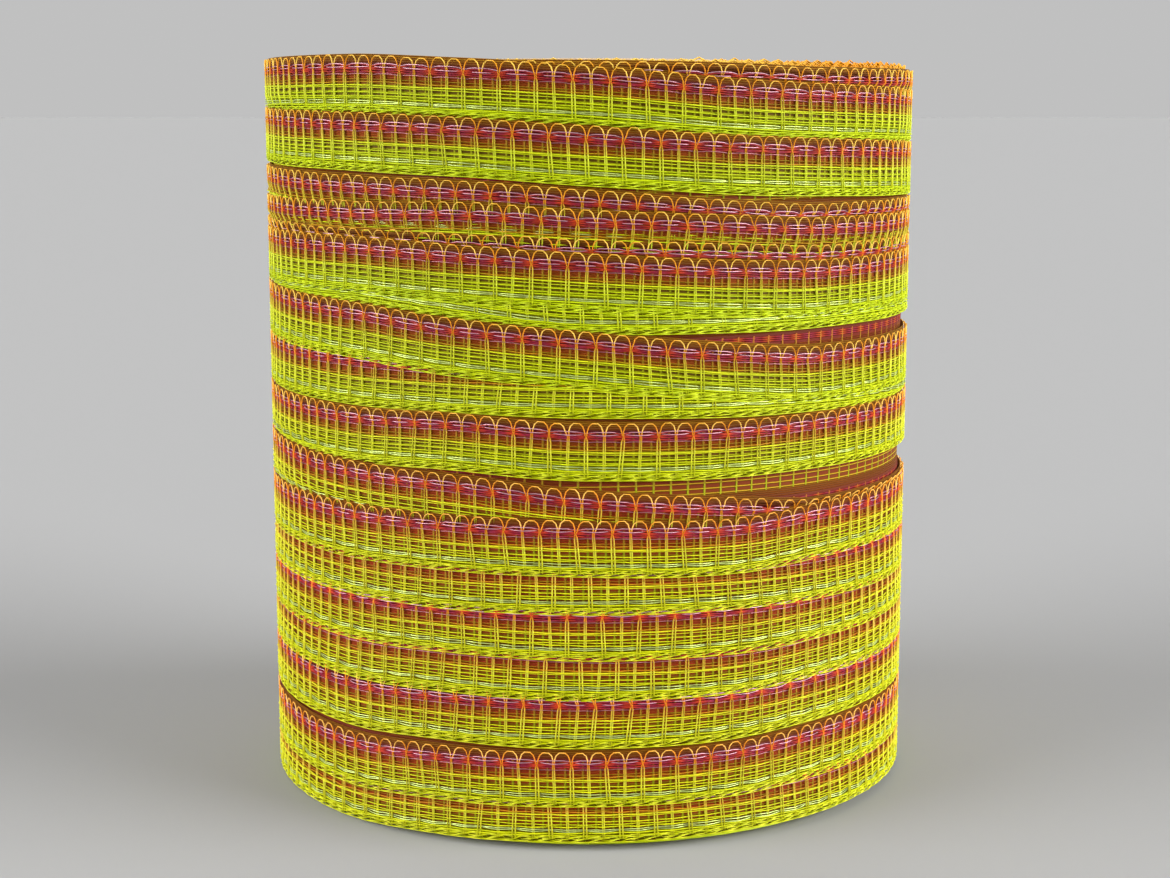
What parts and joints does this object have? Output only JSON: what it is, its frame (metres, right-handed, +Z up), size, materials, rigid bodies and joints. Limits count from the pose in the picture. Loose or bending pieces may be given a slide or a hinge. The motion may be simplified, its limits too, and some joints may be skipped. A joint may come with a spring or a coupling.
{
  "type": "electric fence tape roll",
  "caption": "Roll of narrow woven fence tape with steel wires, wound to and fro in overlapping turns on a paper core; pays out from a spindle.",
  "frame": {"origin": "centre of the core's lower end, on the level floor that the roll stands on", "axes": "+Z up along the axis of the roll and its bore; -Y is the side that the picture shows"},
  "size_m": [0.124, 0.124, 0.136],
  "materials": {
    "tape_yellow": "translucent fluorescent yellow plastic filaments",
    "tape_red": "deep orange-red plastic filaments with a soft shine",
    "conductor_wire": "bright thin stainless wire",
    "core_paper": "plain wound paper tube"
  },
  "bodies": {
    "root": {"tape_winding": "tape_yellow", "core_tube": "core_paper"}
  },
  "joints": []
}
